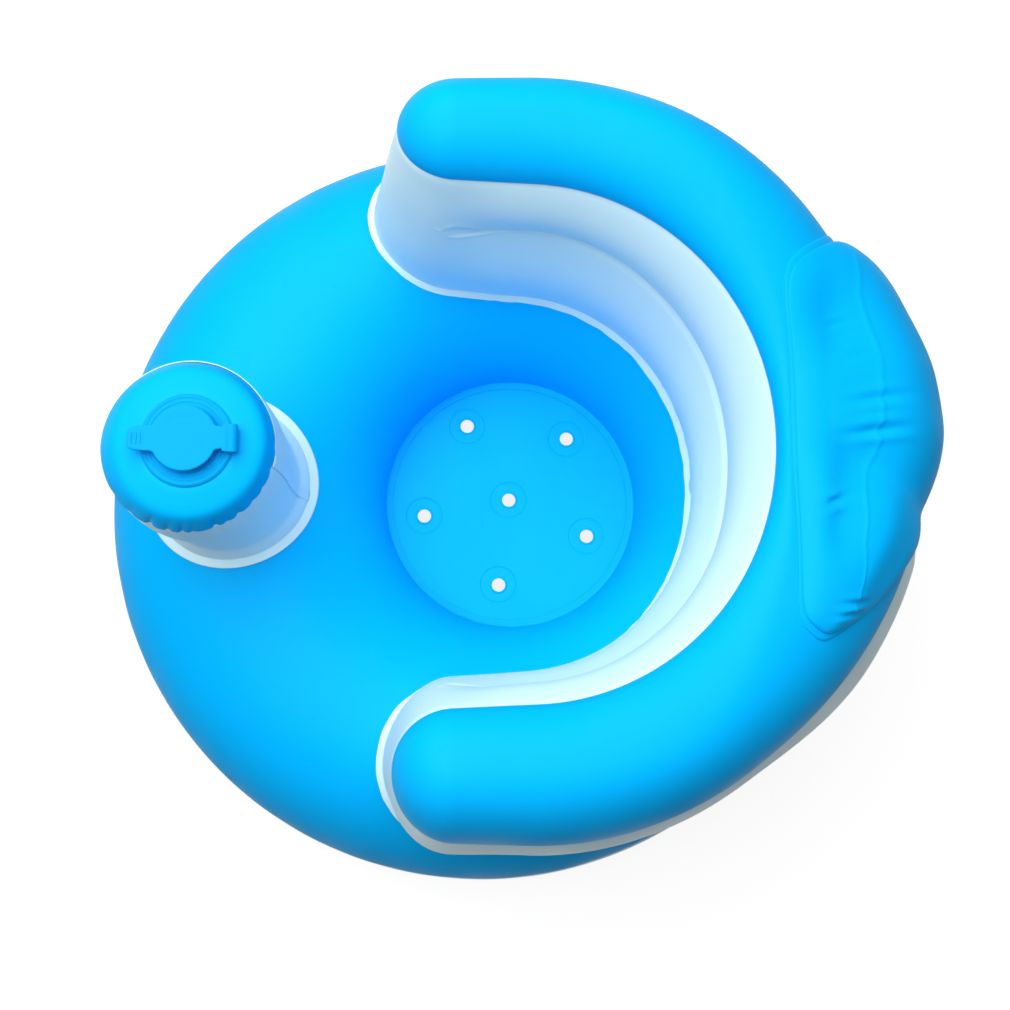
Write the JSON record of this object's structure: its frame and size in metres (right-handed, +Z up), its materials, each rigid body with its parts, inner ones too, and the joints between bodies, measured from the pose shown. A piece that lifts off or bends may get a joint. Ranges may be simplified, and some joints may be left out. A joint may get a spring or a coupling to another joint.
{
  "type": "inflatable baby floor seat",
  "caption": "Inflatable floor seat for a baby: wide ring base with drained floor, horseshoe backrest with arms, crotch post with air valve, squeeze pump behind the backrest.",
  "frame": {"origin": "on the ground, in the middle of the footprint", "axes": "+X to the side, +Y towards the backrest, +Z up"},
  "size_m": [0.46, 0.4688, 0.278],
  "materials": {
    "blue_vinyl": "semi-gloss calendered sheet",
    "white_vinyl": "semi-gloss calendered sheet",
    "blue_moulding": "semi-gloss soft moulding",
    "white_moulding": "satin moulding",
    "flap_rubber": "matt silicone",
    "foam": "open-cell foam"
  },
  "bodies": {
    "seat": {"base_top_skin": "blue_vinyl", "base_bottom_skin": "white_vinyl", "base_seam_tape": "white_vinyl", "floor_sheet": "blue_vinyl", "floor_backing": "white_vinyl", "drain_eyelets": "blue_moulding", "backrest_wall": "white_vinyl", "backrest_top_skin": "blue_vinyl", "backrest_foot_weld": "white_vinyl", "backrest_tie_web": "white_vinyl", "pump_cover": "blue_vinyl", "pump_weld_flange": "blue_vinyl", "pump_foam": "foam", "pump_outlet_body": "white_moulding", "post_wall": "white_vinyl", "post_side_seam": "white_vinyl", "post_foot_weld": "white_vinyl", "post_cap": "blue_vinyl", "valve_body": "blue_moulding", "valve_insert": "white_moulding", "valve_strap": "blue_moulding"},
    "lid": {"valve_lid": "blue_moulding"},
    "check_flap": {"valve_flap": "flap_rubber"},
    "pump_face": {"pump_inlet_body": "blue_moulding"},
    "inlet_flap": {"pump_inlet_flap": "flap_rubber"},
    "outlet_flap": {"pump_outlet_flap": "flap_rubber"}
  },
  "joints": [
    {"name": "lid_hinge", "type": "hinge", "parent": "seat", "child": "lid", "pos_m": [0, -0.13419, 0.24671], "axis": [-1, 0, 0], "range_deg": [0, 150], "deforming": ["valve_strap"]},
    {"name": "check_flap_lift", "type": "slide", "parent": "seat", "child": "check_flap", "axis": [0, 0.061, -0.9981], "range_m": [0, 0.0025], "stiffness_N_per_m": 40},
    {"name": "pump_press", "type": "slide", "parent": "seat", "child": "pump_face", "axis": [0, -0.8759, 0.4825], "range_m": [0, 0.012], "stiffness_N_per_m": 400, "deforming": ["pump_cover", "pump_foam"]},
    {"name": "inlet_flap_lift", "type": "slide", "parent": "pump_face", "child": "inlet_flap", "axis": [0, -0.8759, 0.4825], "range_m": [0, 0.0012], "stiffness_N_per_m": 40},
    {"name": "outlet_flap_lift", "type": "slide", "parent": "seat", "child": "outlet_flap", "axis": [0, -0.6698, -0.7425], "range_m": [0, 0.0012], "stiffness_N_per_m": 40}
  ]
}
